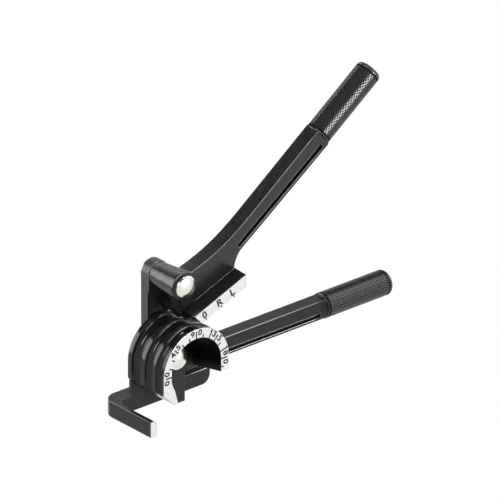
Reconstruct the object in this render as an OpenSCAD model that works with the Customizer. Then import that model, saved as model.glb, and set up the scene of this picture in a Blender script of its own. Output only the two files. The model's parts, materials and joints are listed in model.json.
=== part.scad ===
// Hand lever bender for three tube sizes, upright, with its dial to the front.
// The die's axis lies along Y and passes through the origin, which is on the dial's face.
// The dial faces -Y, the lower handle points along +X, and the link stands up along +Z.

/* [Tubes] */
// Outside diameter of the tube in the front groove
front_tube_d = 6.35; // [4:0.01:7]
// Outside diameter of the tube in the middle groove
middle_tube_d = 7.94; // [6:0.01:8.5]
// Outside diameter of the tube in the rear groove
rear_tube_d = 9.53; // [8:0.01:9.6]

/* [Forming die] */
// Radius of the die's rims
die_r = 28.6; // [26:0.1:31]
// How far the tube's centre line runs outside the rims
groove_lift = 0.5; // [0.2:0.05:1]
// Width of the land in front of the front groove
front_land = 2.4; // [1.5:0.1:4]
// Width of the land between the front and middle grooves
second_land = 3.2; // [2:0.1:5]
// Width of the land between the middle and rear grooves
third_land = 4; // [2:0.1:6]
// Width of the land behind the rear groove
rear_land = 4; // [2.5:0.1:6]
// Radius of the hollow at the dial's face
hollow_r = 21.7; // [19:0.1:22.5]
// Radius of the hollow at its floor
hollow_floor_r = 14; // [12.5:0.1:18]
// Depth of the hollow
hollow_depth = 20.7; // [17:0.1:23]
// Straight length of the grooves below the zero mark
left_leg = 12; // [8:0.1:14]
// Size of the slanting cut under the left leg, across and down
leg_cut = 9.5; // [6:0.1:10]
// Width of the left leg's flat tip
leg_tip_w = 3.3; // [2:0.1:5]
// Straight length of the grooves below the last mark
right_leg = 9.7; // [9:0.1:12]

/* [Die tongue] */
// Reach of the tongue left of the axis
tongue_left = 12; // [9:0.1:14]
// Reach of the tongue right of the axis
tongue_right = 7.5; // [6:0.1:12]
// Depth of the tongue's lower end below the axis
tongue_drop = 34.5; // [32.5:0.1:37]
// Width of the slanting cut at the tongue's lower left corner
tongue_cut_w = 10.5; // [1:0.1:11]
// Height of that cut
tongue_cut_h = 8.5; // [1:0.1:9]
// Gap between the tongue and the washer behind the die
tongue_room = 0.7; // [0.3:0.1:2]

/* [Base and hook] */
// Gap between the die's back and the base
base_gap = 1; // [0.6:0.1:2]
// Thickness of the base, front to back
base_t = 12; // [11.6:0.1:14]
// Underside of the base bar, below the axis
bar_bottom = 39.2; // [36:0.1:44]
// Height of the base bar
bar_h = 11.6; // [9:0.1:12]
// Right end of the base bar
bar_end = 44.7; // [30:0.1:60]
// Radius of the bar's lower right corner
bar_corner_r = 7; // [2:0.1:9]
// Left edge of the thick plate that stands on the bar
plate_left = 13; // [10:0.1:16]
// Right edge of that plate
plate_right = 18; // [12:0.1:30]
// Left edge of the thin gusset beside the plate
gusset_left = 25.4; // [20:0.1:30]
// Top of that gusset, below the axis
gusset_top = 12; // [11:0.1:14]
// Thickness of that gusset
gusset_t = 1.6; // [1:0.1:4]
// Room between the largest tube and the hook
hook_room = 0.7; // [0.2:0.1:2]
// Width of the hook's tip
hook_tip_w = 5.8; // [4:0.1:8]
// Radius of the hook's rear corner
hook_corner_r = 10; // [2:0.1:11]
// Radius in the corner between the hook and the bar
hook_fillet_r = 2.6; // [0.5:0.1:2.9]
// Bevel on the hook's inner upper edge
hook_bevel = 2.5; // [0.5:0.1:4]

/* [Lower handle] */
// Gap between the link's lower end and the handle's top
handle_room = 1.8; // [1:0.1:4]
// Height of the handle beam
handle_h = 13.8; // [10:0.1:14.4]
// Thickness of the handle beam, front to back
handle_t = 11; // [9:0.1:11.5]
// Where the lower grip starts
lower_grip_start = 149; // [100:1:190]
// Where the slots in the handle beam start
handle_slot_start = 40; // [30:1:60]
// Height of the handle's slots
handle_slot_h = 2.6; // [2:0.1:4]
// Lip under the handle's slots
handle_lip = 1.9; // [0.8:0.1:3]
// Depth of the handle's slots
handle_slot_depth = 3.2; // [1:0.1:4]
// End of the slots, short of the grip
slot_margin = 5.5; // [5:0.5:14]

/* [Grips] */
// Outside diameter of a grip
grip_d = 18.1; // [17:0.1:20]
// Length of a grip
grip_len = 57.5; // [45:0.5:70]
// Radius of a grip's outer edge
grip_edge_r = 3; // [0.5:0.1:4]
// Diameter of the round tang inside a grip
tang_d = 9.6; // [7:0.1:10]
// Land on a handle's collar, next to its grip
collar_land = 0.8; // [0.5:0.1:2]
// How far a collar's flare starts inside the handle's faces
collar_sink = 0.4; // [0.2:0.1:1]
// Reach of the slanting cut that trims a handle's corners to its grip
corner_trim = 3; // [2:0.5:5]
// Wall at a grip's closed end
grip_end_wall = 5; // [4.5:0.5:10]
// Room in a grip past the tang's end
tang_end_room = 1; // [0.5:0.1:3]

/* [Link] */
// Distance between the two pivots
link_len = 56; // [54:0.1:60]
// Width of the link
link_w = 18; // [16:0.1:19]
// Thickness of the link
link_t = 8; // [5:0.1:9]

/* [Lever] */
// Angle that the lever is lifted off the tube
lever_lift = 21.1; // [10:0.1:40]
// Angle between the lever's beam and its shoe
beam_angle = 15.2; // [8:0.1:25]
// Distance of the grip's axis under the lever's pivot
beam_drop = 14; // [12:0.1:15]
// Distance of the beam's upper edge under the lever's pivot
beam_top = 6.3; // [5:0.1:7.5]
// Front face of the lever's blade, behind the dial's face
lever_front = 12.4; // [11:0.1:14]
// Thickness of the lever's blade
lever_t = 12; // [10.5:0.1:13]
// Radius of the hub on the blade
hub_r = 10.5; // [9:0.1:12]
// Radius of the hub at the link
hub_back_r = 8.5; // [7.5:0.1:10]
// Height of the beam next to the hub
beam_root_h = 13.8; // [12:0.1:15]
// Height of the beam at the grip
beam_end_h = 15.9; // [14:0.1:16]
// Where the beam's straight part starts, from the pivot
beam_start = 47; // [44:0.5:52]
// Where the lever's grip starts, from the pivot
lever_grip_start = 142; // [110:1:180]
// Where the beam's upper edge starts to rise to the hub, from the pivot
rise_start = 67; // [60:0.5:80]
// Pull of that rise along the beam
rise_pull = 32; // [20:0.5:36]
// Angle on the hub where that rise ends
hub_top_angle = 24; // [15:1:40]
// Angle on the hub where the blade's left edge meets it
hub_side_angle = 198; // [190:1:215]
// How far the blade's edges stay inside the shoe's ends
blade_inset = 0.6; // [0.5:0.1:1]
// How far the blade's edges run into the hub
hub_sink = 1.2; // [1.1:0.1:2]
// Height of the lever's slots
lever_slot_h = 3.4; // [2:0.1:4]
// Lip under the lever's slots
lever_lip = 2.4; // [1:0.1:3]
// Depth of the lever's slots
lever_slot_depth = 3.2; // [1:0.1:4]

/* [Shoe] */
// Gap between the shoe and the die's rims when the lever is down
shoe_gap = 2.6; // [2:0.1:4]
// Height of the shoe
shoe_h = 8.7; // [7:0.1:10]
// Left end of the shoe
shoe_left = 8.1; // [6:0.1:9]
// Right end of the shoe's upper edge
shoe_right = 41; // [38:0.1:42]
// How far the left end of the shoe's front stays inside its back
shoe_front_inset = 0.3; // [0.2:0.1:1]
// How far that end of the front leans in
shoe_left_lean = 3.3; // [1:0.1:5]
// How far the shoe's right end leans in
shoe_right_lean = 4.1; // [1:0.1:6]

/* [Pivots] */
// Diameter of the two pivot pins
pin_d = 8; // [6:0.1:9]
// Diameter of a pin's domed head
pin_head_d = 16.4; // [12:0.1:17]
// Height of the dome on a pin's head
pin_dome_h = 2.7; // [1.5:0.1:4]
// Height of the straight edge under that dome
pin_edge_h = 2.2; // [0.5:0.1:3]
// Diameter of a pin's set tail
tail_d = 12; // [10.5:0.1:14]
// Height of a pin's set tail
tail_h = 1.6; // [1:0.1:2]
// Outside diameter of the washers
washer_d = 16; // [14:0.1:17]
// Thickness of the washer between the die and the link
main_thrust_t = 1.5; // [1:0.1:2]
// Thickness of the washer between the lever and the link
lever_thrust_t = 1; // [0.6:0.1:1.4]
// Thickness of the washers under the set tails
tail_washer_t = 1.2; // [0.8:0.1:1.6]

/* [Die screws] */
// Thread diameter of the screws that hold the die
screw_d = 5; // [4:0.1:6]
// Head diameter of those screws
screw_head_d = 8.5; // [7:0.1:9]
// Head height of those screws
screw_head_h = 5; // [3:0.1:5]
// Socket width across flats
screw_socket = 4; // [2:0.1:4]
// Length of thread in the die
screw_reach = 12; // [6:0.1:14]
// Room in the die past a screw's end
screw_end_room = 1; // [0.5:0.1:3]
// Depth of the upper screw below the axis
upper_screw_z = 18.5; // [17.5:0.1:20]
// Depth of the lower screw below the axis
lower_screw_z = 29.5; // [27.8:0.1:30]

/* [Clearances] */
// Play of a tube in its groove, on the radius
tube_play = 0.05; // [0.02:0.01:0.15]
// Running clearance round a pivot pin, on the radius
pin_play = 0.05; // [0.02:0.01:0.09]
// End play of a turning piece
end_play = 0.05; // [0.02:0.01:0.2]
// Clearance round a screw in the base, on the radius
screw_play = 0.3; // [0.15:0.05:0.6]
// Clearance round the tang inside a grip, on the radius
tang_play = 0.02; // [0.01:0.01:0.1]

/* [Hidden] */
$fn = 96;
// How far a cut runs past the faces that it opens
cut = 1;

// Layers from the dial backwards
tube_d = [front_tube_d, middle_tube_d, rear_tube_d];
groove_y = [
  front_land + tube_d[0] / 2,
  front_land + tube_d[0] + second_land + tube_d[1] / 2,
  front_land + tube_d[0] + second_land + tube_d[1] + third_land + tube_d[2] / 2
];
die_depth = groove_y[2] + tube_d[2] / 2 + rear_land;
base_front = die_depth + base_gap;
base_back = base_front + base_t;
link_front = die_depth + main_thrust_t + end_play;
link_back = link_front + link_t;
main_tail_y = link_back + end_play + tail_washer_t;
lever_tail_y = link_back + tail_washer_t;
lever_back = lever_front + lever_t;
hub_back = link_front - lever_thrust_t - end_play;

// Centre line of a tube round the die
groove_r = die_r + groove_lift;
groove_cut = left_leg + leg_cut + cut;
// Centre line of an engaged tube, below the lever's pivot
shoe_groove_drop = link_len - groove_r;
// Underside and top of the shoe, below the lever's pivot
shoe_bottom = link_len - die_r - shoe_gap;
shoe_top = shoe_bottom - shoe_h;

// The hook's inner face and its width at the base
hook_inner = groove_r + rear_tube_d / 2 + hook_room;
hook_outer = hook_inner + hook_tip_w;
bar_top = bar_bottom - bar_h;

// Handle and lever beams
handle_top = link_w / 2 + handle_room;
handle_drop = handle_top + handle_h / 2;
handle_y = base_back - handle_t / 2;
lever_y = lever_front + lever_t / 2;
tang_r = tang_d / 2;
// Pulls of the lever's curves at the shoe, under the beam and at the hub
blade_pull = [1.5, 3];
under_pull = [4, 0];
hub_pull = [12, -4];
screw_x = (tongue_right - tongue_left) / 2;
screw_seat = base_back - screw_head_h;

die_black = [0.07, 0.07, 0.075];
paint_black = [0.12, 0.12, 0.125];
nickel = [0.78, 0.77, 0.74];
steel = [0.55, 0.56, 0.58];

// A flat outline in X and Z, as a slab between two depths
module slab(y_front, y_back) {
  translate([0, y_back, 0]) rotate([90, 0, 0]) linear_extrude(y_back - y_front) children();
}

// A round bar along Y between two depths
module y_rod(r, y_front, y_back) {
  translate([0, y_front, 0]) rotate([-90, 0, 0]) cylinder(r = r, h = y_back - y_front);
}

// Points on an arc in the drawing plane
function arc(centre, r, from, to, steps = 8) = [
  for (i = [0 : steps]) let (a = from + (to - from) * i / steps) centre + r * [cos(a), sin(a)]
];

// Points on a cubic curve, without its first point
function curve(a, b, c, d, steps = 10) = [
  for (i = [1 : steps]) let (t = i / steps, s = 1 - t)
    s * s * s * a + 3 * s * s * t * b + 3 * s * t * t * c + t * t * t * d
];

// A point given along the shoe and above its pivot, in the beam's own directions
function shoe_to_beam(p) = [
  p[0] * cos(beam_angle) + p[1] * sin(beam_angle),
  p[1] * cos(beam_angle) - p[0] * sin(beam_angle)
];

// Domed head, shank and set tail of a pivot, along Y
module pivot_pin(head_back, tail_front) {
  dome_r = (pow(pin_head_d / 2, 2) + pow(pin_dome_h, 2)) / (2 * pin_dome_h);
  dome_back = head_back - pin_edge_h;
  intersection() {
    translate([0, dome_back - pin_dome_h + dome_r, 0]) sphere(r = dome_r);
    y_rod(pin_head_d / 2, dome_back - pin_dome_h - cut, dome_back);
  }
  y_rod(pin_head_d / 2, dome_back, head_back);
  y_rod(pin_d / 2, head_back - pin_edge_h / 2, tail_front + tail_h / 2);
  y_rod(tail_d / 2, tail_front, tail_front + tail_h);
}

module washer(y_front, thick, bore_r) {
  difference() {
    y_rod(washer_d / 2, y_front, y_front + thick);
    y_rod(bore_r, y_front - cut, y_front + thick + cut);
  }
}

// A closed sleeve along X, with its mouth at the origin
module grip() {
  rotate([0, 90, 0]) difference() {
    union() {
      cylinder(r = grip_d / 2, h = grip_len - grip_edge_r);
      cylinder(r = grip_d / 2 - grip_edge_r, h = grip_len);
      translate([0, 0, grip_len - grip_edge_r]) rotate_extrude()
        translate([grip_d / 2 - grip_edge_r, 0]) circle(r = grip_edge_r);
    }
    translate([0, 0, -cut]) cylinder(r = tang_r + tang_play, h = grip_len - grip_end_wall + cut);
  }
}

// Round tang that a grip sits on, along X from the grip's mouth
module tang() {
  tang_len = grip_len - grip_end_wall - tang_end_room;
  translate([-cut, 0, 0]) rotate([0, 90, 0]) cylinder(r = tang_r, h = tang_len + cut);
}

// Flare from a handle's faces out to its grip, along X up to the grip's mouth
module collar(half_t) {
  flare = grip_d / 2 - half_t + collar_sink;
  rotate([0, 90, 0]) translate([0, 0, -collar_land - flare]) difference() {
    cylinder(r = grip_d / 2, h = collar_land + flare);
    rotate_extrude() translate([grip_d / 2, 0]) circle(r = flare);
  }
}

// What is cut off a handle's corners at the grip's mouth
module mouth_trim() {
  rim = grip_d / 2;
  rotate([0, 90, 0]) rotate_extrude()
    polygon([[rim, 0], [rim + corner_trim, -corner_trim], [rim + corner_trim, cut], [rim, cut]]);
}

// Rounds and straight legs that the tubes lie in
module tube_grooves() {
  for (i = [0 : 2]) translate([0, groove_y[i], 0]) {
    rotate([90, 0, 0]) rotate_extrude(angle = 180) translate([groove_r, 0])
      circle(r = tube_d[i] / 2 + tube_play);
    for (side = [-1, 1]) translate([side * groove_r, 0, -groove_cut])
      cylinder(r = tube_d[i] / 2 + tube_play, h = groove_cut);
  }
}

module die_outline() {
  tip = [-die_r + leg_cut, -left_leg - leg_cut];
  intersection() {
    circle(r = die_r);
    translate([-die_r, 0]) square([2 * die_r, die_r]);
  }
  translate([-die_r, -right_leg]) square([2 * die_r, right_leg]);
  polygon([[-die_r, 0], [-die_r, -left_leg], tip, tip + [leg_tip_w, 0], [-hollow_floor_r, 0]]);
}

// Part of the die that the base is screwed to
module tongue_outline(top) {
  polygon([[-tongue_left, top], [-tongue_left, -tongue_drop + tongue_cut_h],
    [-tongue_left + tongue_cut_w, -tongue_drop], [tongue_right, -tongue_drop], [tongue_right, top]]);
}

// Open middle of the horseshoe, in front of the floor that carries the pivot
module die_hollow() {
  deep = left_leg + leg_cut + cut;
  tip_x = -die_r + leg_cut + leg_tip_w;
  mouth_r = hollow_r + cut * (hollow_r - hollow_floor_r) / hollow_depth;
  translate([0, -cut, 0]) rotate([-90, 0, 0])
    cylinder(r1 = mouth_r, r2 = hollow_floor_r, h = hollow_depth + cut);
  intersection() {
    translate([0, 0, -deep]) linear_extrude(deep)
      polygon([[-mouth_r, -cut], [mouth_r, -cut], [hollow_floor_r, hollow_depth],
        [-hollow_floor_r, hollow_depth]]);
    slab(-cut, hollow_depth) polygon([[-mouth_r, 0], [mouth_r, 0], [mouth_r, -deep], [tip_x, -deep],
      [tip_x, -left_leg - leg_cut], [-hollow_r, 0]]);
  }
}

module forming_die() {
  color(die_black) difference() {
    union() {
      slab(0, die_depth) die_outline();
      slab(hollow_depth, die_depth) tongue_outline(0);
      slab(die_depth - cut, base_front) tongue_outline(-washer_d / 2 - tongue_room);
    }
    die_hollow();
    tube_grooves();
    y_rod(pin_d / 2, hollow_depth - cut, die_depth + cut);
    for (z = [upper_screw_z, lower_screw_z]) translate([screw_x, 0, -z])
      y_rod(screw_d / 2, base_front - screw_reach - screw_end_room, base_front + cut);
  }
}

// Bar and hook seen from above
module hook_plan() {
  inner_corner = [-hook_inner + hook_fillet_r, base_front - hook_fillet_r];
  outer_corner = [-hook_outer + hook_corner_r, base_back - hook_corner_r];
  polygon(concat(
    [[-hook_outer, 0], [-hook_inner, 0]],
    arc(inner_corner, hook_fillet_r, 180, 90),
    [[bar_end, base_front], [bar_end, base_back]],
    arc(outer_corner, hook_corner_r, 90, 180)
  ));
}

// Bar and hook seen from the front
module bar_front() {
  corner = [bar_end - bar_corner_r, -bar_bottom + bar_corner_r];
  polygon(concat(
    [[-hook_outer - cut, -bar_top], [-hook_outer - cut, -bar_bottom]],
    arc(corner, bar_corner_r, -90, 0),
    [[bar_end, -bar_top]]
  ));
}

module handle_slots() {
  slot_end = lower_grip_start - slot_margin;
  for (y = [base_back - handle_t - cut, base_back - handle_slot_depth])
    translate([handle_slot_start, y, -handle_drop - handle_h / 2 + handle_lip])
      cube([slot_end - handle_slot_start, handle_slot_depth + cut, handle_slot_h]);
}

module lower_handle() {
  color(paint_black) difference() {
    union() {
      intersection() {
        translate([0, 0, -bar_bottom]) linear_extrude(bar_h) hook_plan();
        slab(-cut, base_back + cut) bar_front();
      }
      slab(base_front, base_back) translate([-plate_left, -bar_top - cut])
        square([plate_left + plate_right, bar_top - handle_top + cut]);
      slab(base_front, base_front + gusset_t) translate([-gusset_left, -bar_top - cut])
        square([gusset_left, bar_top - gusset_top + cut]);
      translate([0, base_back - handle_t, -handle_drop - handle_h / 2])
        cube([lower_grip_start, handle_t, handle_h]);
      translate([lower_grip_start, handle_y, -handle_drop]) {
        collar(handle_t / 2);
        tang();
      }
    }
    handle_slots();
    translate([lower_grip_start, handle_y, -handle_drop]) mouth_trim();
    slab(-cut, base_front - hook_fillet_r) translate([-hook_inner, -bar_top]) rotate(45)
      square(hook_bevel * sqrt(2), center = true);
    for (z = [upper_screw_z, lower_screw_z]) translate([screw_x, 0, -z]) {
      y_rod(screw_d / 2 + screw_play, base_front - cut, base_back);
      y_rod(screw_head_d / 2 + screw_play, screw_seat, base_back + cut);
    }
  }
}

module lower_grip() {
  color(paint_black) translate([lower_grip_start, handle_y, -handle_drop]) grip();
}

module die_screws() {
  color(steel) for (z = [upper_screw_z, lower_screw_z]) translate([screw_x, 0, -z]) difference() {
    union() {
      y_rod(screw_head_d / 2, screw_seat, base_back);
      y_rod(screw_d / 2, base_front - screw_reach, screw_seat + cut);
    }
    translate([0, base_back - screw_head_h / 2, 0]) rotate([-90, 0, 0])
      cylinder(d = screw_socket / cos(30), h = screw_head_h, $fn = 6);
  }
}

module main_pivot_pin() {
  color(nickel) pivot_pin(hollow_depth, main_tail_y);
}

module main_thrust_washer() {
  color(steel) washer(die_depth, main_thrust_t, pin_d / 2 + pin_play);
}

module main_tail_washer() {
  color(steel) washer(main_tail_y - tail_washer_t, tail_washer_t, pin_d / 2);
}

module link_arm() {
  color(paint_black) difference() {
    slab(link_front, link_back) {
      circle(d = link_w);
      translate([0, link_len]) circle(d = link_w);
      translate([-link_w / 2, 0]) square([link_w, link_len]);
    }
    y_rod(pin_d / 2 + pin_play, link_front - cut, link_back + cut);
    translate([0, 0, link_len]) y_rod(pin_d / 2, link_front - cut, link_back + cut);
  }
}

module lever_pivot_pin() {
  color(nickel) translate([0, 0, link_len]) pivot_pin(lever_front - end_play, lever_tail_y);
}

module lever_thrust_washer() {
  color(steel) translate([0, 0, link_len]) washer(link_front - lever_thrust_t, lever_thrust_t, pin_d / 2);
}

module lever_tail_washer() {
  color(steel) translate([0, 0, link_len]) washer(link_back, tail_washer_t, pin_d / 2);
}

// Blade and beam seen from the front, with the pivot at the origin and the beam along X
module lever_outline() {
  shoe_start = shoe_to_beam([-shoe_left + blade_inset, -shoe_top - cut]);
  shoe_end = shoe_to_beam([shoe_right - blade_inset, -shoe_top - cut]);
  under_start = [beam_start, -beam_top - beam_root_h];
  rise = [rise_start, -beam_top];
  hub_top = (hub_r - hub_sink) * [cos(hub_top_angle), sin(hub_top_angle)];
  hub_side = (hub_r - hub_sink) * [cos(hub_side_angle), sin(hub_side_angle)];
  polygon(concat(
    [[0, 0], hub_side, shoe_start, shoe_end],
    curve(shoe_end, shoe_end + blade_pull, under_start - under_pull, under_start),
    [[lever_grip_start, -beam_top - beam_end_h], [lever_grip_start, -beam_top], rise],
    curve(rise, rise - [rise_pull, 0], hub_top + hub_pull, hub_top)
  ));
}

// Three-groove block under the blade, with the pivot at the origin and the shoe along X
module shoe() {
  front_left = -shoe_left + shoe_front_inset;
  lean = shoe_left_lean * cut / shoe_h;
  difference() {
    slab(0, die_depth) polygon([[-shoe_left, -shoe_top], [-shoe_left, -shoe_bottom],
      [shoe_right - shoe_right_lean, -shoe_bottom], [shoe_right, -shoe_top]]);
    slab(-cut, lever_front) polygon([
      [front_left - lean, -shoe_top + cut], [-shoe_left - cut, -shoe_top + cut],
      [-shoe_left - cut, -shoe_bottom - cut], [front_left + shoe_left_lean + lean, -shoe_bottom - cut]
    ]);
    for (i = [0 : 2]) translate([-shoe_left - cut, groove_y[i], -shoe_groove_drop]) rotate([0, 90, 0])
      cylinder(r = tube_d[i] / 2 + tube_play, h = shoe_left + shoe_right + 2 * cut);
  }
}

module lever_slots() {
  slot_len = lever_grip_start - slot_margin - beam_start;
  taper = atan((beam_root_h - beam_end_h) / (lever_grip_start - beam_start));
  for (y = [lever_front - cut, lever_back - lever_slot_depth])
    translate([beam_start, y, -beam_top - beam_root_h + lever_lip]) rotate([0, -taper, 0])
      cube([slot_len, lever_slot_depth + cut, lever_slot_h]);
}

// Places a piece drawn round the lever's pivot, tilted above the shoe's engaged direction
module at_lever(tilt) {
  translate([0, 0, link_len]) rotate([0, -lever_lift - tilt, 0]) children();
}

module bending_lever() {
  color(paint_black) difference() {
    union() {
      at_lever(beam_angle) {
        difference() {
          slab(lever_front, lever_back) lever_outline();
          lever_slots();
          translate([lever_grip_start, lever_y, -beam_drop]) mouth_trim();
        }
        translate([lever_grip_start, lever_y, -beam_drop]) {
          collar(lever_t / 2);
          tang();
        }
        translate([0, lever_front, 0]) rotate([-90, 0, 0])
          cylinder(r1 = hub_r, r2 = hub_back_r, h = hub_back - lever_front);
      }
      at_lever(0) shoe();
    }
    translate([0, 0, link_len]) y_rod(pin_d / 2 + pin_play, lever_front - cut, hub_back + cut);
  }
}

module lever_grip() {
  color(paint_black) at_lever(beam_angle) translate([lever_grip_start, lever_y, -beam_drop]) grip();
}

lower_handle();
lower_grip();
forming_die();
die_screws();
main_pivot_pin();
main_thrust_washer();
main_tail_washer();
link_arm();
lever_pivot_pin();
lever_thrust_washer();
lever_tail_washer();
bending_lever();
lever_grip();
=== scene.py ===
# %% [markdown]
# # A hand tube bender
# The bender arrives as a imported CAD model: a black casting with a round forming die, a short link,
# and a lever with a shoe. Every solid is already at its real size and place, so this lesson never
# moves one. It rounds their edges, gives each piece its finish, and models the parts whose charm is
# in small detail: knurled grips, polished rivets and the dial's marks.

# %% Load the frame
import json
import math

import bmesh
import bpy
from mathutils import Matrix, Vector

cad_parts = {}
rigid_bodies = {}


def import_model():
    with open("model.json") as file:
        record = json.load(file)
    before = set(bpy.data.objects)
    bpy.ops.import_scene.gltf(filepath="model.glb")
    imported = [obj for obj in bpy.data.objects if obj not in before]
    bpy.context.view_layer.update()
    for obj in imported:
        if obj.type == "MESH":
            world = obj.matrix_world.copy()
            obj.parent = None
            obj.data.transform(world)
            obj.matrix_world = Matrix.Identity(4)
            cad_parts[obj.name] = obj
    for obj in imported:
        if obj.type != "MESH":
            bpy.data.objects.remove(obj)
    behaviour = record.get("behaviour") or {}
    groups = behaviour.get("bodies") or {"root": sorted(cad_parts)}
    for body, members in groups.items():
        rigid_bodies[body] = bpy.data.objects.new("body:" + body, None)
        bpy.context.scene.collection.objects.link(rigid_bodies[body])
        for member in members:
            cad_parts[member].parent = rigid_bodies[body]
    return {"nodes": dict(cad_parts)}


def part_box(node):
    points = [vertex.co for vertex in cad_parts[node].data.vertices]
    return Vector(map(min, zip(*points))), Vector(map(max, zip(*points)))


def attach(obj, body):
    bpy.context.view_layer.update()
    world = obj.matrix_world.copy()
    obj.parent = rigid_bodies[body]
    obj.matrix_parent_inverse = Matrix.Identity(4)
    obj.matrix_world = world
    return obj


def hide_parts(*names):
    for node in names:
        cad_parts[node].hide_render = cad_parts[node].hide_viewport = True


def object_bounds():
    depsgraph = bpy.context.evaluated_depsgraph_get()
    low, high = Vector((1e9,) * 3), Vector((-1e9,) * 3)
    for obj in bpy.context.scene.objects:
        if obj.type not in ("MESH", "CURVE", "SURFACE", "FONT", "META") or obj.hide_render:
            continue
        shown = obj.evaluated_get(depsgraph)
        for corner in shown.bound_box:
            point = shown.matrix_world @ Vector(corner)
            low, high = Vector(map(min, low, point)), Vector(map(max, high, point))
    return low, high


MM = 0.001
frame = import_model()
nodes = frame["nodes"]
cad_low, cad_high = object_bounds()
print("CAD nodes:", len(nodes), "box in mm:", [round(side / MM, 1) for side in cad_high - cad_low])

# %% [markdown]
# ## The camera
# The photograph looks down on the dial from the front left. A long lens far away keeps parallel edges
# parallel, as they are in the picture. The camera is built from two directions, which way is right in
# the picture and which way is up, because those can be read off the straight handle and the dial.

# %% Camera
PICTURE_WIDTH = 333.5 * MM
FAR = 12.0

def add_camera(target, right, up):
    """A camera that sees PICTURE_WIDTH across at the target, with these directions in its picture."""
    right = right.normalized()
    up = (up - right * up.dot(right)).normalized()
    back = right.cross(up)
    camera = bpy.data.objects.new("camera", bpy.data.cameras.new("camera"))
    bpy.context.scene.collection.objects.link(camera)
    turn = Matrix((right, up, back)).transposed().to_4x4()
    camera.matrix_world = Matrix.Translation(target + back * FAR) @ turn
    camera.data.sensor_width = 36
    camera.data.lens = 36 * FAR / PICTURE_WIDTH
    camera.data.clip_end = 30
    bpy.context.scene.camera = camera
    return camera

camera = add_camera(
    Vector((46.95, 0, 72.8)) * MM, Vector((0.760, -0.649, 0)), Vector((0.2845, 0.333, 0.899)))
bpy.context.scene.view_settings.view_transform = "Standard"
print("camera at", [round(c, 2) for c in camera.location])

# %% [markdown]
# ## Shader expressions
# A finish is a tree of nodes, and sums in a tree are slow to read. This small class wraps a node's
# output, so that `1 - mask * 0.4` adds the Math nodes by itself. Every node comes from one method,
# which takes the node's type, its settings and what goes into its sockets.

# %% A wrapped socket and a tree of nodes
class Shade:
    """An output socket that can be used in sums."""

    def __init__(self, tree, socket):
        self.tree = tree
        self.socket = socket

    def math(self, operation, a, b):
        return self.tree.node("ShaderNodeMath", {"operation": operation}, {0: a, 1: b})

    def __add__(self, other):
        return self.math("ADD", self, other)

    def __radd__(self, other):
        return self.math("ADD", other, self)

    def __sub__(self, other):
        return self.math("SUBTRACT", self, other)

    def __rsub__(self, other):
        return self.math("SUBTRACT", other, self)

    def __mul__(self, other):
        return self.math("MULTIPLY", self, other)

    def __rmul__(self, other):
        return self.math("MULTIPLY", other, self)

    def __lt__(self, other):
        return self.math("LESS_THAN", self, other)

    def __gt__(self, other):
        return self.math("GREATER_THAN", self, other)


class Tree:
    """The nodes of a material or of the world."""

    def __init__(self, owner):
        owner.use_nodes = True
        self.owner = owner
        self.nodes = owner.node_tree.nodes
        self.links = owner.node_tree.links

    def node(self, kind, settings=None, sockets=None, out=0):
        made = self.nodes.new(kind)
        for key, value in (settings or {}).items():
            if key == "stops":
                self.set_stops(made.color_ramp.elements, value)
            else:
                setattr(made, key, value)
        for key, value in (sockets or {}).items():
            self.put(value, made.inputs[key])
        return Shade(self, made.outputs[out])

    def set_stops(self, elements, stops):
        while len(elements) < len(stops):
            elements.new(1.0)
        for element, (position, grey) in zip(elements, stops):
            element.position = position
            element.color = (grey, grey, grey, 1)

    def put(self, value, socket):
        if isinstance(value, Shade):
            self.links.new(value.socket, socket)
        else:
            socket.default_value = value

    def mix(self, share, a, b):
        """Colour a where share is 0, colour b where it is 1."""
        return self.node("ShaderNodeMix", {"data_type": "RGBA"}, {0: share, 6: a, 7: b}, out=2)

    def place(self):
        return self.node("ShaderNodeTexCoord", out=3)

    def coordinate(self, axis):
        return self.node("ShaderNodeSeparateXYZ", None, {0: self.place()}, out=axis)

    def noise(self, size_mm, detail=2.0):
        """Grey noise whose blotches are about this wide, between 0 and 1."""
        return self.node("ShaderNodeTexNoise", None, {
            "Vector": self.place(), "Scale": 1 / (size_mm * MM), "Detail": detail})


class Finish(Tree):
    """A material with a Principled shader. Values that stay the same all over are set on its sockets."""

    def __init__(self, name, fixed):
        super().__init__(bpy.data.materials.new(name))
        self.shader = self.nodes["Principled BSDF"]
        self.feed(fixed)

    def feed(self, sockets):
        for key, value in sockets.items():
            self.put(value, self.shader.inputs[key])

    def bump(self, height, depth_mm):
        normal = self.node("ShaderNodeBump", None, {
            "Height": height, "Distance": depth_mm * MM, "Strength": 1.0})
        self.feed({"Normal": normal})


def grey(level):
    return (level, level, level, 1)

print("shader tools ready")

# %% [markdown]
# ## The stage
# A white floor and a white surround, as in a product photograph. The floor lies well under the tool:
# the picture shows no ground shadow, and the lever needs the room when it swings down. Rays that go
# straight to the floor, or reach it by a reflection, see it glow, so it stays white to its far edge.
# Black paint shows its shape only in what it reflects, so the surround matters more than the lamps:
# it is white round the horizon and grey overhead, which makes upright faces pale and the lever's top
# dark. The tall softbox behind on the left draws the long bands of light on the die and the hub.

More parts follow.
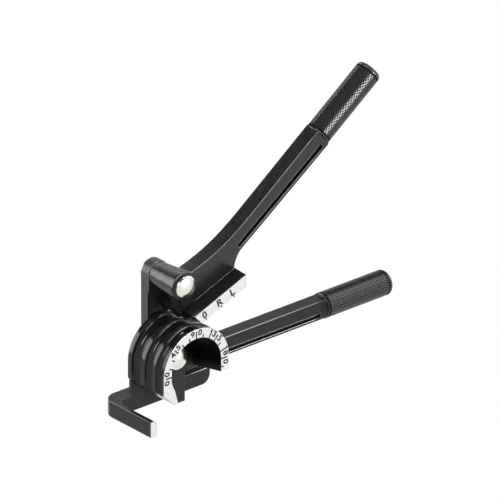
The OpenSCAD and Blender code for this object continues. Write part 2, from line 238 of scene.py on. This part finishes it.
# %% Floor
FLOOR_DROP = 165 * MM
FLOOR_SIZE = 8.0
GLOW_SHARE = 0.94
bpy.ops.object.select_all(action="DESELECT")
bpy.ops.mesh.primitive_plane_add(size=FLOOR_SIZE, location=(0, 0, cad_low.z - FLOOR_DROP))
floor = bpy.context.object
floor.name = "floor"
paper = Finish("white_paper", {"Base Color": grey(0.94), "Roughness": 0.9, "Specular IOR Level": 0.0})
camera_ray = paper.node("ShaderNodeLightPath", out=0)
glossy_ray = paper.node("ShaderNodeLightPath", out=3)
through_ray = paper.node("ShaderNodeLightPath", out=6)
seen = camera_ray + glossy_ray + through_ray
glow = paper.node("ShaderNodeEmission", None, {"Color": grey(1), "Strength": 1.0})
lit = Shade(paper, paper.shader.outputs[0])
paper_mix = paper.node("ShaderNodeMixShader", None, {0: seen * GLOW_SHARE, 1: lit, 2: glow})
paper.put(paper_mix, paper.nodes["Material Output"].inputs["Surface"])
floor.data.materials.append(paper.owner)
print("floor at", round(floor.location.z / MM, 1), "mm")

# %% World
SKY_TONES = [(0.50, 1.0), (0.67, 0.95), (0.73, 0.6), (0.79, 0.12), (1.0, 0.16)]
surround = bpy.data.worlds.new("surround")
bpy.context.scene.world = surround
sky = Tree(surround)
direction = sky.node("ShaderNodeTexCoord", out=0)
height = sky.node("ShaderNodeSeparateXYZ", None, {0: direction}, out=2)
tone = sky.node("ShaderNodeValToRGB", {"stops": SKY_TONES}, {0: height * 0.5 + 0.5})
sky.put(tone, sky.nodes["Background"].inputs["Color"])
sky.put(1.0, sky.nodes["Background"].inputs["Strength"])
print("surround: white at the horizon, grey overhead")

# %% Lamps
LOOK_AT = Vector((60, 20, 30)) * MM

def softbox(name, place, size, watts):
    """A rectangular lamp that faces the tool, with its place and size in metres."""
    lamp = bpy.data.objects.new(name, bpy.data.lights.new(name, "AREA"))
    lamp.data.shape = "RECTANGLE"
    lamp.data.size, lamp.data.size_y = size
    lamp.data.energy = watts
    lamp.location = Vector(place)
    lamp.rotation_euler = (LOOK_AT - lamp.location).to_track_quat("-Z", "Y").to_euler()
    bpy.context.scene.collection.objects.link(lamp)
    return lamp

softbox("left_softbox", (-1.1, -0.45, 0.9), (0.35, 0.7), 10.0)
softbox("front_softbox", (0.38, -1.25, 0.30), (0.8, 0.6), 16.0)
softbox("right_softbox", (0.95, -0.35, 0.80), (0.9, 0.9), 6.0)
softbox("top_softbox", (0.25, 0.05, 1.30), (0.7, 0.25), 9.0)
softbox("back_strip", (0.30, 1.1, 0.80), (0.9, 0.16), 2.0)
softbox("back_left_softbox", (-0.75, 0.97, 0.32), (0.5, 0.9), 8.0)
print("six softboxes")

# %% [markdown]
# ## Black castings
# The frame, link and lever are cast metal with a satin black finish. Their grain is a fine noise that
# bumps the surface, and slow blotches vary the gloss. All faces that touch the front plane were ground
# bare after painting: the dial, the shoe's edge and the hook's tip share one plane, so one mask on
# the Y coordinate bares them all. The die's hollow is painted near black, rough and dull, as painted
# shade. Outer edges get a paler tone of their own, partly wear where handling rubbed the coat off and
# partly a painted highlight: the pointiness of the mesh tells outer edges from inner corners, balls in
# space mark the places where edges stay hardly paler, and balls round the hub paint their edges near
# black as painted shade.

# %% Casting finishes
BARE_DEPTH = 0.12 * MM
HOLLOW_DEPTH = 21.2 * MM
LEG_TOP = (-12 * MM, -3 * MM)
PAINT_DARK = (0.005, 0.005, 0.0053, 1)
PAINT_LIGHT = (0.009, 0.009, 0.0093, 1)
# Painted shade: the near black colour of the die's hollow.
HOLLOW_PAINTED_SHADE = (0.003, 0.003, 0.003, 1)
GROUND_DARK = (0.58, 0.575, 0.565, 1)
GROUND_LIGHT = (0.80, 0.795, 0.78, 1)
GROUND_ROUGHNESS = 0.20

def casting(name, shine, roughness, grain_mm, grain_depth, inside_r=0.0):
    """Black finish with a cast grain, bare ground metal in front, and near black rough painted shade
    inside a radius.
    """
    finish = Finish(name, {"Specular IOR Level": shine})
    bare = finish.coordinate(1) < BARE_DEPTH
    blotch = finish.noise(9)
    grain = finish.noise(grain_mm, detail=3)
    scratch = finish.noise(0.5, detail=4)
    x = finish.coordinate(0)
    z = finish.coordinate(2)
    above_leg = finish.node("ShaderNodeMapRange", None, {0: z, 1: LEG_TOP[0], 2: LEG_TOP[1]})
    in_hollow = finish.coordinate(1) < HOLLOW_DEPTH
    # The die's hollow, inside the radius and above the leg, is painted near black and rough as painted
    # shade.
    inside = (x * x + z * z < inside_r ** 2) * in_hollow * (1 - bare) * above_leg
    paint_and_hollow_shade = finish.mix(blotch, PAINT_DARK, PAINT_LIGHT)
    paint_and_hollow_shade = finish.mix(inside, paint_and_hollow_shade, HOLLOW_PAINTED_SHADE)
    ground = finish.mix(scratch, GROUND_DARK, GROUND_LIGHT)
    painted = roughness + blotch * 0.06 + grain * 0.06
    finish.feed({
        "Base Color": finish.mix(bare, paint_and_hollow_shade, ground),
        "Metallic": bare * 0.85 + inside,
        "Roughness": painted + bare * (GROUND_ROUGHNESS - roughness) + inside * 0.6,
    })
    finish.bump(grain, grain_depth)
    return finish.owner

satin = casting("satin_black_casting", 0.25, 0.20, 0.8, 0.016)
lever_satin = casting("satin_black_lever", 0.42, 0.20, 0.7, 0.012)
link_satin = casting("satin_black_link", 0.7, 0.36, 0.8, 0.010)
# The die's finish, with painted shade in its hollow.
gloss = casting("gloss_black_casting", 0.30, 0.08, 0.9, 0.003, inside_r=21.9 * MM)

PALE_EDGE_FROM = 0.498
PALE_EDGE_FULL = 0.508
SOFT_RIM = 1.3

def edge_wear_highlight_finish(name, palest, fainter_balls, painted_shade_balls=()):
    """Outer edges paler, partly as wear and partly as a painted highlight, but not inner corners. Balls
    of (place, radius) in mm in the third argument keep edges hardly paler, and the balls in the last
    argument paint edges near black without shine, as painted shade."""
    finish = Finish(name, {"Specular IOR Level": 0.6})
    standing_out = finish.node("ShaderNodeNewGeometry", out=7)
    outer_edge = finish.node("ShaderNodeMapRange", None, {0: standing_out, 1: PALE_EDGE_FROM, 2: PALE_EDGE_FULL})
    # Outer edges are painted paler: partly wear, partly a painted highlight for the light on rounded
    # edges.
    pale_wear_and_highlight = (0.55 + finish.noise(3, detail=3) * 0.45) * outer_edge
    def outside(ball, least):
        """1 outside a ball, and this value inside it."""
        middle, radius = ball
        away = finish.node("ShaderNodeVectorMath", {"operation": "DISTANCE"}, {
            0: finish.place(), 1: Vector(middle) * MM}, out=1)
        return finish.node("ShaderNodeMapRange", None, {
            0: away, 1: radius * MM, 2: radius * SOFT_RIM * MM, 3: least})

    for ball in fainter_balls:
        pale_wear_and_highlight = pale_wear_and_highlight * outside(ball, 0.1)
    # Balls round the hub paint the edges near black and without shine, as painted shade.
    unshaded = 1.0
    for ball in painted_shade_balls:
        unshaded = outside(ball, 0.0) * unshaded
    pale_wear_and_highlight = pale_wear_and_highlight * unshaded
    finish.feed({
        "Base Color": finish.mix(unshaded, grey(0.003), finish.mix(pale_wear_and_highlight, grey(0.010), grey(palest))),
        "Metallic": pale_wear_and_highlight * 0.7 + (1 - unshaded),
        "Roughness": 0.26 + pale_wear_and_highlight * 0.1,
    })
    return finish.owner

# Paler outer edges, partly wear and partly painted highlight; the lever's edges also get painted shade
# round the hub.
handle_edge = edge_wear_highlight_finish("handle_edge_wear_and_painted_highlight", 0.50, [((-20, 25, -20), 48), ((150, 45, -17.7), 11.5)])
lever_edge = edge_wear_highlight_finish(
    "lever_edge_wear_painted_highlight_and_shade", 0.13, [((123.5, 18.4, 129.5), 11.5)],
    painted_shade_balls=[((-2, 31, 31), 15), ((-9, 12.4, 52), 9.5), ((-1, 13, 41), 9)])
print("edge finishes:", handle_edge.name, lever_edge.name)

# %% [markdown]
# ## Plated rivets and steel
# The two rivets are bright nickel with a warm tint and faint polishing rings. Washers and screws are
# plain steel, duller and greyer. The grips need three blacks: shiny diamond tops, grooves between them
# that are darker and dull as painted shade, and half dull ends. The marks are filled with a flat black.

# %% Metal finishes
def metal(name, dark, light, roughness):
    """Bare metal with a smear of two tones and a fine bump."""
    finish = Finish(name, {"Metallic": 1.0})
    smear = finish.noise(2.5, detail=3)
    finish.feed({
        "Base Color": finish.mix(smear, dark, light),
        "Roughness": roughness + smear * 0.08,
    })
    finish.bump(finish.noise(0.4), 0.002)
    return finish.owner

nickel = metal("bright_nickel", (0.70, 0.675, 0.63, 1), (0.80, 0.78, 0.735, 1), 0.17)
steel = metal("plain_steel", (0.42, 0.42, 0.42, 1), (0.55, 0.55, 0.54, 1), 0.28)
print("metal finishes:", nickel.name, steel.name)

# %% Grip and mark finishes
def plain_black(name, shine, dark, light, roughness):
    """Black that clouds between two greys."""
    finish = Finish(name, {"Specular IOR Level": shine})
    cloud = finish.noise(4, detail=3)
    finish.feed({
        "Base Color": finish.mix(cloud, grey(dark), grey(light)),
        "Roughness": roughness + cloud * 0.1,
    })
    finish.bump(finish.noise(0.3), 0.006)
    return finish.owner

grip_black = plain_black("black_grip_tops", 0.85, 0.012, 0.022, 0.20)
# Painted shade: the grooves between the diamonds are painted darker than the tops.
groove_painted_shade = plain_black("black_grip_grooves_painted_shade", 0.1, 0.002, 0.004, 0.70)
end_black = plain_black("black_grip_ends", 0.30, 0.010, 0.016, 0.35)
ink = plain_black("black_mark_filling", 0.3, 0.004, 0.009, 0.55)
print("grip and mark finishes:", grip_black.name, groove_painted_shade.name, end_black.name, ink.name)

# %% [markdown]
# ## Rounded edges on the CAD solids
# Real castings have no razor edges: a thin rounded corner catches the light and draws the bright
# lines in the photograph. The solids stay as they are. Live modifiers join their loose triangles,
# dissolve flat areas into single faces, bevel what is left, and weight the shading by face area so
# that flat faces stay flat. The bevel puts its new faces in the second material slot, so that edges
# get the paler edge finish, partly wear and partly a painted highlight.

# %% Bevel modifiers
WELD_GAP = 0.002 * MM
FLAT_ANGLE = math.radians(0.5)
EDGE_ANGLE = math.radians(32)
FACE_WEIGHT = 70

def dress(name, face_finish, edge_finish, round_mm, measure="OFFSET", flatten=True):
    """Finishes for a node's faces and edges, and the modifiers that round its edges."""
    node = nodes[name]
    node.data.materials.clear()
    node.data.materials.append(face_finish)
    node.data.materials.append(edge_finish)
    for face in node.data.polygons:
        face.use_smooth = True
    weld = node.modifiers.new("join", "WELD")
    weld.merge_threshold = WELD_GAP
    if flatten:
        flat = node.modifiers.new("flatten", "DECIMATE")
        flat.decimate_type = "DISSOLVE"
        flat.angle_limit = FLAT_ANGLE
    rounded = node.modifiers.new("round", "BEVEL")
    rounded.offset_type = measure
    rounded.width = round_mm * MM
    rounded.segments = 2
    rounded.limit_method = "ANGLE"
    rounded.angle_limit = EDGE_ANGLE
    rounded.use_clamp_overlap = False
    rounded.material = 1
    even = node.modifiers.new("even_shading", "WEIGHTED_NORMAL")
    even.mode = "FACE_AREA"
    even.weight = FACE_WEIGHT
    return node

dress("lower_handle", satin, handle_edge, 0.6, "WIDTH")
dress("forming_die", gloss, gloss, 0.35)
dress("link_arm", link_satin, lever_edge, 0.6)
dress("bending_lever", lever_satin, lever_edge, 0.6, "WIDTH", flatten=False)
for name in nodes:
    if "washer" in name or "screw" in name:
        dress(name, steel, steel, 0.2)
print("dressed the castings, washers and screws")

# %% [markdown]
# ## Knurled grips
# Each handle ends in a round grip whose surface was rolled into small diamonds, so that it doesn't
# slip. A bump could fake that, but its edge against the light would stay smooth. So the grip is a ring
# of vertices extruded along the handle, row by row. Every second vertex, as on a chess board, is pulled
# in and joined to the next low ones, the vertices between them are dissolved, and each diamond that
# this leaves is inset and raised, so that it gets a flat top between V-shaped grooves. The grooves get
# a darker, duller finish as painted shade, and the slightly domed end a duller finish of its own. The
# sleeve is modelled once and copied.

# %% The knurled sleeve
GRIP_R = 9.05 * MM
GRIP_LEN = 57.5 * MM
GRIP_EDGE = 3 * MM
GRIP_CROWN = 0.6 * MM
GRIP_BORE = 4.82 * MM
GRIP_WALL = 5 * MM
DIAMONDS = 32
KNURL_START = 0.5 * MM
KNURL_ROWS = 34
KNURL_STEP = 1.55 * MM
KNURL_DEPTH = 0.36 * MM
KNURL_FLANK = 0.19 * MM
KNURL_CREASE = math.radians(14)
END_START = GRIP_LEN - GRIP_CROWN - 0.9 * GRIP_EDGE

def deselect():
    if bpy.context.object and bpy.context.object.mode != "OBJECT":
        bpy.ops.object.mode_set(mode="OBJECT")
    bpy.ops.object.select_all(action="DESELECT")

def edit_mesh():
    bpy.ops.object.mode_set(mode="EDIT")
    bpy.ops.mesh.select_mode(type="VERT")
    return bmesh.from_edit_mesh(bpy.context.object.data)

def pick(test):
    """Selects the vertices, in edit mode, whose place passes the test."""
    mesh = bmesh.from_edit_mesh(bpy.context.object.data)
    chosen = 0
    for vertex in mesh.verts:
        vertex.select = test(vertex.co)
        chosen += vertex.select
    mesh.select_flush_mode()
    bmesh.update_edit_mesh(bpy.context.object.data)
    return chosen

def next_ring(step, scale=1.0):
    """Extrudes the selected ring along X, then widens or narrows it."""
    bpy.ops.mesh.extrude_region_move(TRANSFORM_OT_translate={"value": (step, 0, 0)})
    if scale != 1.0:
        bpy.ops.transform.resize(value=(1, scale, scale), center_override=(0, 0, 0))

deselect()
bpy.ops.mesh.primitive_circle_add(vertices=2 * DIAMONDS, radius=GRIP_R, rotation=(0, math.pi / 2, 0))
bpy.ops.object.transform_apply(location=True, rotation=True, scale=True)
sleeve = bpy.context.object
sleeve.data.materials.append(grip_black)
sleeve.data.materials.append(groove_painted_shade)
sleeve.data.materials.append(end_black)
edit_mesh()
bpy.ops.mesh.select_all(action="SELECT")
next_ring(KNURL_START)
for row in range(KNURL_ROWS):
    next_ring(KNURL_STEP)
shoulder = GRIP_LEN - GRIP_CROWN - GRIP_EDGE - KNURL_START - KNURL_ROWS * KNURL_STEP
next_ring(shoulder)
radius = GRIP_R
turned = 0.0
for angle in range(15, 91, 15):
    bend = math.radians(angle)
    new_radius = GRIP_R - GRIP_EDGE * (1 - math.cos(bend))
    next_ring(GRIP_EDGE * (math.sin(bend) - math.sin(turned)), new_radius / radius)
    radius = new_radius
    turned = bend
next_ring(GRIP_CROWN * 0.6, 0.67)
next_ring(GRIP_CROWN * 0.3, 0.5)
next_ring(GRIP_CROWN * 0.1, 0.5)
bpy.ops.mesh.merge(type="CENTER")
print("sleeve closed at the end,", round(GRIP_LEN / MM, 1), "mm long")

# %% The bore and the diamonds
pick(lambda place: place.x < 0.01 * MM)
next_ring(0, GRIP_BORE / GRIP_R)
next_ring(GRIP_LEN - GRIP_WALL)
bpy.ops.mesh.edge_face_add()

def on_board(place):
    """Row and column of a vertex on the knurl's chess board, or None away from it."""
    row = round((place.x - KNURL_START) / KNURL_STEP, 1)
    if place.yz.length < GRIP_R - 0.5 * MM or row != int(row) or not 0 <= row <= KNURL_ROWS:
        return None
    return int(row), round(math.atan2(place.z, place.y) / (math.pi / DIAMONDS))

def is_low(place):
    spot = on_board(place)
    return spot is not None and sum(spot) % 2 == 1

def is_middle(place):
    spot = on_board(place)
    return spot is not None and sum(spot) % 2 == 0 and 0 < spot[0] < KNURL_ROWS

low_points = pick(is_low)
bpy.ops.mesh.vert_connect()
shrink = 1 - KNURL_DEPTH / GRIP_R
bpy.ops.transform.resize(value=(1, shrink, shrink), center_override=(0, 0, 0))
diamonds = pick(is_middle)
bpy.ops.mesh.dissolve_verts()
bpy.ops.mesh.select_all(action="SELECT")
bpy.ops.mesh.normals_make_consistent(inside=False)
pick(is_low)
bpy.ops.mesh.select_more()
# The faces round the low points take the groove finish with its painted shade.
sleeve.active_material_index = 1
bpy.ops.object.material_slot_assign()
pick(is_low)
bpy.ops.mesh.inset(thickness=KNURL_FLANK, depth=KNURL_DEPTH, use_individual=True)
sleeve.active_material_index = 0
bpy.ops.object.material_slot_assign()
pick(lambda place: place.x > END_START)
sleeve.active_material_index = 2
bpy.ops.object.material_slot_assign()
bpy.ops.object.mode_set(mode="OBJECT")
bpy.ops.object.shade_smooth_by_angle(angle=KNURL_CREASE)
print("knurl:", diamonds, "diamonds,", low_points, "low points,", len(sleeve.data.polygons), "faces")

# %% Put the grips on their handles
BEAM_ANGLE = math.radians(36.3)
LEVER_PIVOT = Vector((0, 18.4, 56)) * MM
LOWER_MOUTH = Vector((149, 44.92, -17.7)) * MM
LEVER_MOUTH = Vector((142, 0, -14)) * MM

def settle(piece, place):
    """Puts a piece in place and writes that place into its mesh."""
    deselect()
    piece.matrix_world = place
    piece.select_set(True)
    bpy.context.view_layer.objects.active = piece
    bpy.ops.object.transform_apply(location=True, rotation=True, scale=True)

def own_copy(piece, name):
    """A copy with a mesh of its own."""
    copy = piece.copy()
    copy.data = piece.data.copy()
    copy.name = name
    bpy.context.scene.collection.objects.link(copy)
    return copy

def grip(name, body, node, place):
    """A copy of the sleeve that rides on a body, in place of the plain CAD grip."""
    piece = own_copy(sleeve, name)
    settle(piece, place)
    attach(piece, body)
    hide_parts(node)
    print(name, "has", len(piece.data.polygons), "faces")
    return piece

grip("knurled_lower_grip", "frame", "lower_grip", Matrix.Translation(LOWER_MOUTH))
lever_turn = Matrix.Translation(LEVER_PIVOT) @ Matrix.Rotation(-BEAM_ANGLE, 4, "Y")
grip("knurled_lever_grip", "lever", "lever_grip", lever_turn @ Matrix.Translation(LEVER_MOUTH))
bpy.data.objects.remove(sleeve)

# %% [markdown]
# ## Turned rivets
# A rivet is round about its own axis, so it is drawn as half an outline and spun once round, as on a
# lathe. The head is a low dome with a short upright edge, and the far end was hammered flat over a
# washer, which leaves a soft rim and a shallow dish.

# %% Spin the rivets
def arc(centre, radius, first, last, steps):
    """Points of an arc in the lathe's plane: distance from the axis, then place along it."""
    turns = [math.radians(first + (last - first) * i / steps) for i in range(steps + 1)]
    return [(centre[0] + radius * math.cos(a), centre[1] + radius * math.sin(a)) for a in turns]

def lathe(name, outline, axis_x, axis_z):
    """Spins an outline of (radius, y) points, in mm, about a line along Y."""
    deselect()
    start = (axis_x + outline[0][0] * MM, outline[0][1] * MM, axis_z)
    bpy.ops.mesh.primitive_plane_add(size=MM, location=start)
    piece = bpy.context.object
    bpy.ops.object.transform_apply(location=True, rotation=True, scale=True)
    edit_mesh()
    bpy.ops.mesh.select_all(action="SELECT")
    bpy.ops.mesh.merge(type="CENTER")
    for (r0, y0), (r1, y1) in zip(outline, outline[1:]):
        step = ((r1 - r0) * MM, (y1 - y0) * MM, 0)
        bpy.ops.mesh.extrude_vertices_move(TRANSFORM_OT_translate={"value": step})
    bpy.ops.mesh.select_all(action="SELECT")
    bpy.ops.mesh.spin(steps=64, angle=2 * math.pi, center=(axis_x, 0, axis_z), axis=(0, 1, 0))
    bpy.ops.mesh.select_all(action="SELECT")
    bpy.ops.mesh.remove_doubles(threshold=0.001 * MM)
    bpy.ops.mesh.normals_make_consistent(inside=False)
    bpy.ops.object.mode_set(mode="OBJECT")
    bpy.ops.object.shade_smooth_by_angle(angle=math.radians(40))
    piece.name = name
    return piece

HEAD_R = 8.2
HEAD_EDGE = 2.2
DOME = 2.7
SHANK_R = 4.0
TAIL_R = 6.0
TAIL_H = 1.6

def rivet(name, body, node, axis_z):
    """A rivet as long as the CAD pin that it replaces."""
    low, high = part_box(node)
    top = low.y / MM
    end = high.y / MM
    seat = top + DOME + HEAD_EDGE
    dome_r = (HEAD_R ** 2 + DOME ** 2) / (2 * DOME)
    lean = math.degrees(math.asin((HEAD_R - 0.35) / dome_r))
    outline = arc((0, top + dome_r), dome_r, -90, -90 + lean, 10)
    outline += arc((HEAD_R - 0.5, top + DOME + 0.35), 0.5, -45, 0, 3)
    outline += [(HEAD_R, seat - 0.15), (HEAD_R - 0.15, seat), (SHANK_R, seat)]
    outline += [(SHANK_R, end - TAIL_H), (TAIL_R - 0.3, end - TAIL_H)]
    outline += arc((TAIL_R - 0.8, end - 0.8), 0.8, 0, 90, 5)
    outline += [(3.2, end), (2.2, end - 0.35), (0, end - 0.45)]
    piece = lathe(name, outline, 0, axis_z)
    piece.data.materials.append(nickel)
    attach(piece, body)
    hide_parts(node)
    print(name, "spans", round(top, 2), "to", round(end, 2), "mm")
    return piece

rivet("main_rivet", "frame", "main_pivot_pin", 0)
rivet("lever_rivet", "link", "lever_pivot_pin", LEVER_PIVOT.z)

# %% [markdown]
# ## The dial's marks
# The ground ring of the die is a scale for the bend: a long tick every 45 degrees with its number
# split on both sides, and a short tick every 15 degrees. On the real face they are cut and filled with
# black. Each character starts as a text object with a little thickness, becomes a mesh, and is
# stretched to one height. A tick is a thin bar with round ends. Every character and tick is modelled
# once and copied to its places. The plain figure one of the font gets a slanted bar as its flag.

# %% Characters and ticks
INK_PROUD = 0.03 * MM
INK_DEEP = 0.12 * MM
INK_THICK = INK_PROUD + INK_DEEP
STROKE_GAIN = 0.036
END_ROUND = 0.3

def character(letter, height_mm, width_share):
    """One character as a mesh of this height, centred on the origin, with its top at height 0."""
    deselect()
    bpy.ops.object.text_add()
    piece = bpy.context.object
    piece.data.body = letter
    piece.data.resolution_u = 4
    piece.data.offset = STROKE_GAIN
    piece.data.extrude = INK_THICK / 2
    bpy.ops.object.convert(target="MESH")
    edit_mesh()
    bpy.ops.mesh.select_all(action="SELECT")
    bpy.ops.mesh.remove_doubles(threshold=INK_THICK / 10)
    bpy.ops.object.mode_set(mode="OBJECT")
    spots = [vertex.co.copy() for vertex in piece.data.vertices]
    low = Vector((min(s.x for s in spots), min(s.y for s in spots), 0))
    high = Vector((max(s.x for s in spots), max(s.y for s in spots), 0))
    scale = height_mm * MM / (high.y - low.y)
    middle = (low + high) / 2 + Vector((0, 0, INK_THICK / 2))
    shape = Matrix.Diagonal((scale * width_share, scale, 1, 1)) @ Matrix.Translation(-middle)
    piece.data.transform(shape)
    return piece

def tick(length_mm, width_mm):
    """A bar that runs up from the origin, with rounded ends."""
    deselect()
    bpy.ops.mesh.primitive_plane_add(size=1, location=(0, length_mm * MM / 2, 0))
    piece = bpy.context.object
    piece.scale = (width_mm * MM, length_mm * MM, 1)
    bpy.ops.object.transform_apply(location=True, rotation=True, scale=True)
    edit_mesh()
    bpy.ops.mesh.select_all(action="SELECT")
    bpy.ops.mesh.bevel(offset=width_mm * MM * END_ROUND, segments=3, affect="VERTICES")
    bpy.ops.object.mode_set(mode="OBJECT")
    solid = piece.modifiers.new("thickness", "SOLIDIFY")
    solid.thickness = INK_THICK
    solid.offset = -1
    bpy.ops.object.modifier_apply(modifier=solid.name)
    return piece

def lay(pattern, place):
    """A copy of a mark, set in its place."""
    mark = own_copy(pattern, "mark")
    settle(mark, place)
    return mark

def join(name, marks):
    """Makes one piece of all the marks and fills it with black."""
    deselect()
    for mark in marks:
        mark.select_set(True)
    bpy.context.view_layer.objects.active = marks[0]
    bpy.ops.object.join()
    marks[0].name = name
    marks[0].data.materials.clear()
    marks[0].data.materials.append(ink)
    return marks[0]

print("marks stand", INK_PROUD / MM, "mm proud")

# %% Lay the marks round the dial
RING_IN = 21.7 * MM
NUMBER_R = 25.9 * MM
NUMBER_LEAN = 7.2
NUMBER_STEP = 7.6
NUMBERS = ((0, "0", "0"), (45, "4", "5"), (90, "9", "0"), (135, "13", "5"), (180, "18", "0"))
FLAG = Matrix.Translation(Vector((0.15, 2.0, 0)) * MM) @ Matrix.Rotation(math.radians(130), 4, "Z")

def on_dial(degrees, radius):
    """Place on the dial's face: degrees clockwise from the left, at a radius."""
    turn = math.radians(180 - degrees)
    outward = Vector((math.cos(turn), 0, math.sin(turn)))
    clockwise = Vector((math.sin(turn), 0, -math.cos(turn)))
    spot = outward * radius
    spot.y = -INK_PROUD
    axes = Matrix((clockwise, outward, Vector((0, -1, 0)))).transposed().to_4x4()
    return Matrix.Translation(spot) @ axes

figures = {letter: character(letter, 4.6, 1.15) for letter in "0134589"}
long_tick = tick(5.2, 1.1)
short_tick = tick(2.8, 1.0)
flag_bar = tick(1.7, 0.75)
dial = []
for degrees, before, after in NUMBERS:
    dial.append(lay(long_tick, on_dial(degrees, RING_IN)))
    for step, letter in enumerate(reversed(before)):
        place = on_dial(degrees - NUMBER_LEAN - NUMBER_STEP * step, NUMBER_R)
        dial.append(lay(figures[letter], place))
        if letter == "1":
            dial.append(lay(flag_bar, place @ FLAG))
    dial.append(lay(figures[after], on_dial(degrees + NUMBER_LEAN, NUMBER_R)))
for degrees in range(15, 196, 15):
    if degrees % 45:
        dial.append(lay(short_tick, on_dial(degrees, RING_IN)))
for pattern in (*figures.values(), long_tick, short_tick, flag_bar):
    bpy.data.objects.remove(pattern)
dial_marks = join("dial_marks", dial)
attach(dial_marks, "frame")
print("dial marks:", len(dial), "of them")

# %% [markdown]
# ## The shoe's marks
# The shoe's ground edge carries three marks, one for a straight pull and two for measuring from the
# right and from the left. They are letters of the same cut, each over a short tick at the edge that
# meets the dial.

# %% Lay the marks along the shoe
SHOE_ANGLE = math.radians(21.1)
SHOE_LOW = 24.8 * MM
LETTER_LOW = 20.0 * MM

def on_shoe(along_mm, under):
    """Place on the shoe's front edge: along it from the pivot, and under the pivot."""
    along = Vector((math.cos(SHOE_ANGLE), 0, math.sin(SHOE_ANGLE)))
    above = Vector((-math.sin(SHOE_ANGLE), 0, math.cos(SHOE_ANGLE)))
    spot = along * along_mm * MM - above * under + Vector((0, 0, LEVER_PIVOT.z))
    spot.y = -INK_PROUD
    axes = Matrix((along, above, Vector((0, -1, 0)))).transposed().to_4x4()
    return Matrix.Translation(spot) @ axes

edge_tick = tick(1.9, 0.9)
shoe = []
for letter, along_mm in (("0", 0.0), ("R", 14.35), ("L", 26.0)):
    mark = character(letter, 5.6, 1.05)
    settle(mark, on_shoe(along_mm, LETTER_LOW))
    shoe += [mark, lay(edge_tick, on_shoe(along_mm, SHOE_LOW))]
bpy.data.objects.remove(edge_tick)
shoe_marks = join("shoe_marks", shoe)
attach(shoe_marks, "lever")
print("shoe marks:", len(shoe), "of them")
